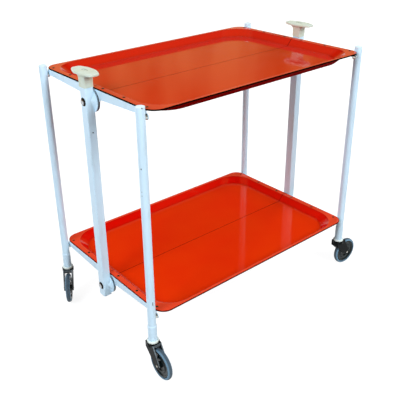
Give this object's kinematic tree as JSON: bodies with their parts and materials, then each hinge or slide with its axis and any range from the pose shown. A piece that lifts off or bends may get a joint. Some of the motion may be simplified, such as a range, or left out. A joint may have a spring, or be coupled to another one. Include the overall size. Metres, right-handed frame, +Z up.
{
  "type": "serving trolley",
  "caption": "Folding two-tier serving trolley with split red trays on a white tube frame, knob handles on centre bars and swivel castors.",
  "frame": {"origin": "on the floor under the middle of the four legs", "axes": "+X along the length to the right, -Y the front, +Z up"},
  "size_m": [0.7339, 0.4725, 0.6415],
  "materials": {
    "red_laminate": "glossy moulded laminate",
    "white_paint": "satin stoved paint",
    "cream_plastic": "moulded, slightly yellowed",
    "ivory_plastic": "moulded",
    "black_plastic": "moulded, satin",
    "charcoal_plastic": "moulded, satin",
    "grey_rubber": "matt",
    "chrome": "polished",
    "zinc_steel": "zinc plated",
    "brass_rivet": "dull, tarnished"
  },
  "bodies": {
    "centre_frame": {"centre_bar_left": "white_paint", "centre_bar_right": "white_paint", "handle_left": "cream_plastic", "handle_right": "cream_plastic", "centre_bolts": "chrome", "centre_spacers": "white_paint", "centre_nuts": "zinc_steel"},
    "upper_front_leaf": {"tray_upper_front": "red_laminate", "tray_rivets_upper_front": "brass_rivet", "arm_upper_front_left": "white_paint", "arm_upper_front_right": "white_paint"},
    "upper_rear_leaf": {"tray_upper_rear": "red_laminate", "tray_rivets_upper_rear": "brass_rivet", "arm_upper_rear_left": "white_paint", "arm_upper_rear_right": "white_paint"},
    "lower_front_leaf": {"tray_lower_front": "red_laminate", "tray_rivets_lower_front": "brass_rivet", "arm_lower_front_left": "white_paint", "arm_lower_front_right": "white_paint"},
    "lower_rear_leaf": {"tray_lower_rear": "red_laminate", "tray_rivets_lower_rear": "brass_rivet", "arm_lower_rear_left": "white_paint", "arm_lower_rear_right": "white_paint"},
    "front_left_leg": {"leg_front_left": "white_paint", "leg_cap_front_left": "ivory_plastic", "leg_pins_front_left": "zinc_steel", "castor_socket_front_left": "ivory_plastic"},
    "front_left_castor": {"castor_fork_front_left": "black_plastic", "castor_stem_front_left": "zinc_steel", "castor_axle_front_left": "zinc_steel"},
    "front_left_wheel": {"wheel_hub_front_left": "charcoal_plastic", "wheel_tyre_front_left": "grey_rubber"},
    "front_right_leg": {"leg_front_right": "white_paint", "leg_cap_front_right": "ivory_plastic", "leg_pins_front_right": "zinc_steel", "castor_socket_front_right": "ivory_plastic"},
    "front_right_castor": {"castor_fork_front_right": "black_plastic", "castor_stem_front_right": "zinc_steel", "castor_axle_front_right": "zinc_steel"},
    "front_right_wheel": {"wheel_hub_front_right": "charcoal_plastic", "wheel_tyre_front_right": "grey_rubber"},
    "rear_left_leg": {"leg_rear_left": "white_paint", "leg_cap_rear_left": "ivory_plastic", "leg_pins_rear_left": "zinc_steel", "castor_socket_rear_left": "ivory_plastic"},
    "rear_left_castor": {"castor_fork_rear_left": "black_plastic", "castor_stem_rear_left": "zinc_steel", "castor_axle_rear_left": "zinc_steel"},
    "rear_left_wheel": {"wheel_hub_rear_left": "charcoal_plastic", "wheel_tyre_rear_left": "grey_rubber"},
    "rear_right_leg": {"leg_rear_right": "white_paint", "leg_cap_rear_right": "ivory_plastic", "leg_pins_rear_right": "zinc_steel", "castor_socket_rear_right": "ivory_plastic"},
    "rear_right_castor": {"castor_fork_rear_right": "black_plastic", "castor_stem_rear_right": "zinc_steel", "castor_axle_rear_right": "zinc_steel"},
    "rear_right_wheel": {"wheel_hub_rear_right": "charcoal_plastic", "wheel_tyre_rear_right": "grey_rubber"}
  },
  "joints": [
    {"name": "centre_lift", "type": "hinge", "parent": "upper_front_leaf", "child": "centre_frame", "pos_m": [0, 0, 0.577], "axis": [1, 0, 0], "range_deg": [-70, 0]},
    {"name": "upper_rear_fold", "type": "hinge", "parent": "centre_frame", "child": "upper_rear_leaf", "pos_m": [0, 0, 0.577], "axis": [1, 0, 0], "range_deg": [-70, 0]},
    {"name": "lower_front_fold", "type": "hinge", "parent": "centre_frame", "child": "lower_front_leaf", "pos_m": [0, 0, 0.129], "axis": [1, 0, 0], "range_deg": [0, 70]},
    {"name": "lower_rear_fold", "type": "hinge", "parent": "centre_frame", "child": "lower_rear_leaf", "pos_m": [0, 0, 0.129], "axis": [1, 0, 0], "range_deg": [-70, 0]},
    {"name": "fold", "type": "hinge", "parent": "front_left_leg", "child": "upper_front_leaf", "pos_m": [-0.315, -0.1856, 0.591], "axis": [1, 0, 0], "range_deg": [0, 70]},
    {"name": "front_left_swivel", "type": "hinge", "parent": "front_left_leg", "child": "front_left_castor", "pos_m": [-0.315, -0.1856, 0.086], "axis": [0, 0, 1], "continuous": true},
    {"name": "front_left_roll", "type": "hinge", "parent": "front_left_castor", "child": "front_left_wheel", "pos_m": [-0.31601, -0.21458, 0.0365], "axis": [0.9994, -0.0349, 0], "continuous": true},
    {"name": "front_right_leg_pivot", "type": "hinge", "parent": "upper_front_leaf", "child": "front_right_leg", "pos_m": [0.315, -0.1856, 0.591], "axis": [1, 0, 0], "range_deg": [-70, 0]},
    {"name": "front_right_swivel", "type": "hinge", "parent": "front_right_leg", "child": "front_right_castor", "pos_m": [0.315, -0.1856, 0.086], "axis": [0, 0, 1], "continuous": true},
    {"name": "front_right_roll", "type": "hinge", "parent": "front_right_castor", "child": "front_right_wheel", "pos_m": [0.34393, -0.18762, 0.0365], "axis": [0.0698, 0.9976, 0], "continuous": true},
    {"name": "rear_left_leg_pivot", "type": "hinge", "parent": "upper_rear_leaf", "child": "rear_left_leg", "pos_m": [-0.315, 0.1856, 0.591], "axis": [1, 0, 0], "range_deg": [0, 70]},
    {"name": "rear_left_swivel", "type": "hinge", "parent": "rear_left_leg", "child": "rear_left_castor", "pos_m": [-0.315, 0.1856, 0.086], "axis": [0, 0, 1], "continuous": true},
    {"name": "rear_left_roll", "type": "hinge", "parent": "rear_left_castor", "child": "rear_left_wheel", "pos_m": [-0.33079, 0.16128, 0.0365], "axis": [0.8387, -0.5446, 0], "continuous": true},
    {"name": "rear_right_leg_pivot", "type": "hinge", "parent": "upper_rear_leaf", "child": "rear_right_leg", "pos_m": [0.315, 0.1856, 0.591], "axis": [1, 0, 0], "range_deg": [0, 70]},
    {"name": "rear_right_swivel", "type": "hinge", "parent": "rear_right_leg", "child": "rear_right_castor", "pos_m": [0.315, 0.1856, 0.086], "axis": [0, 0, 1], "continuous": true},
    {"name": "rear_right_roll", "type": "hinge", "parent": "rear_right_castor", "child": "rear_right_wheel", "pos_m": [0.28989, 0.2001, 0.0365], "axis": [-0.5, -0.866, 0], "continuous": true}
  ],
  "couplings": [
    {"joint": "centre_lift", "follows": "fold", "ratio": -1},
    {"joint": "upper_rear_fold", "follows": "fold", "ratio": -1},
    {"joint": "lower_front_fold", "follows": "fold", "ratio": 1},
    {"joint": "lower_rear_fold", "follows": "fold", "ratio": -1},
    {"joint": "front_right_leg_pivot", "follows": "fold", "ratio": -1},
    {"joint": "rear_left_leg_pivot", "follows": "fold", "ratio": 1},
    {"joint": "rear_right_leg_pivot", "follows": "fold", "ratio": 1}
  ]
}
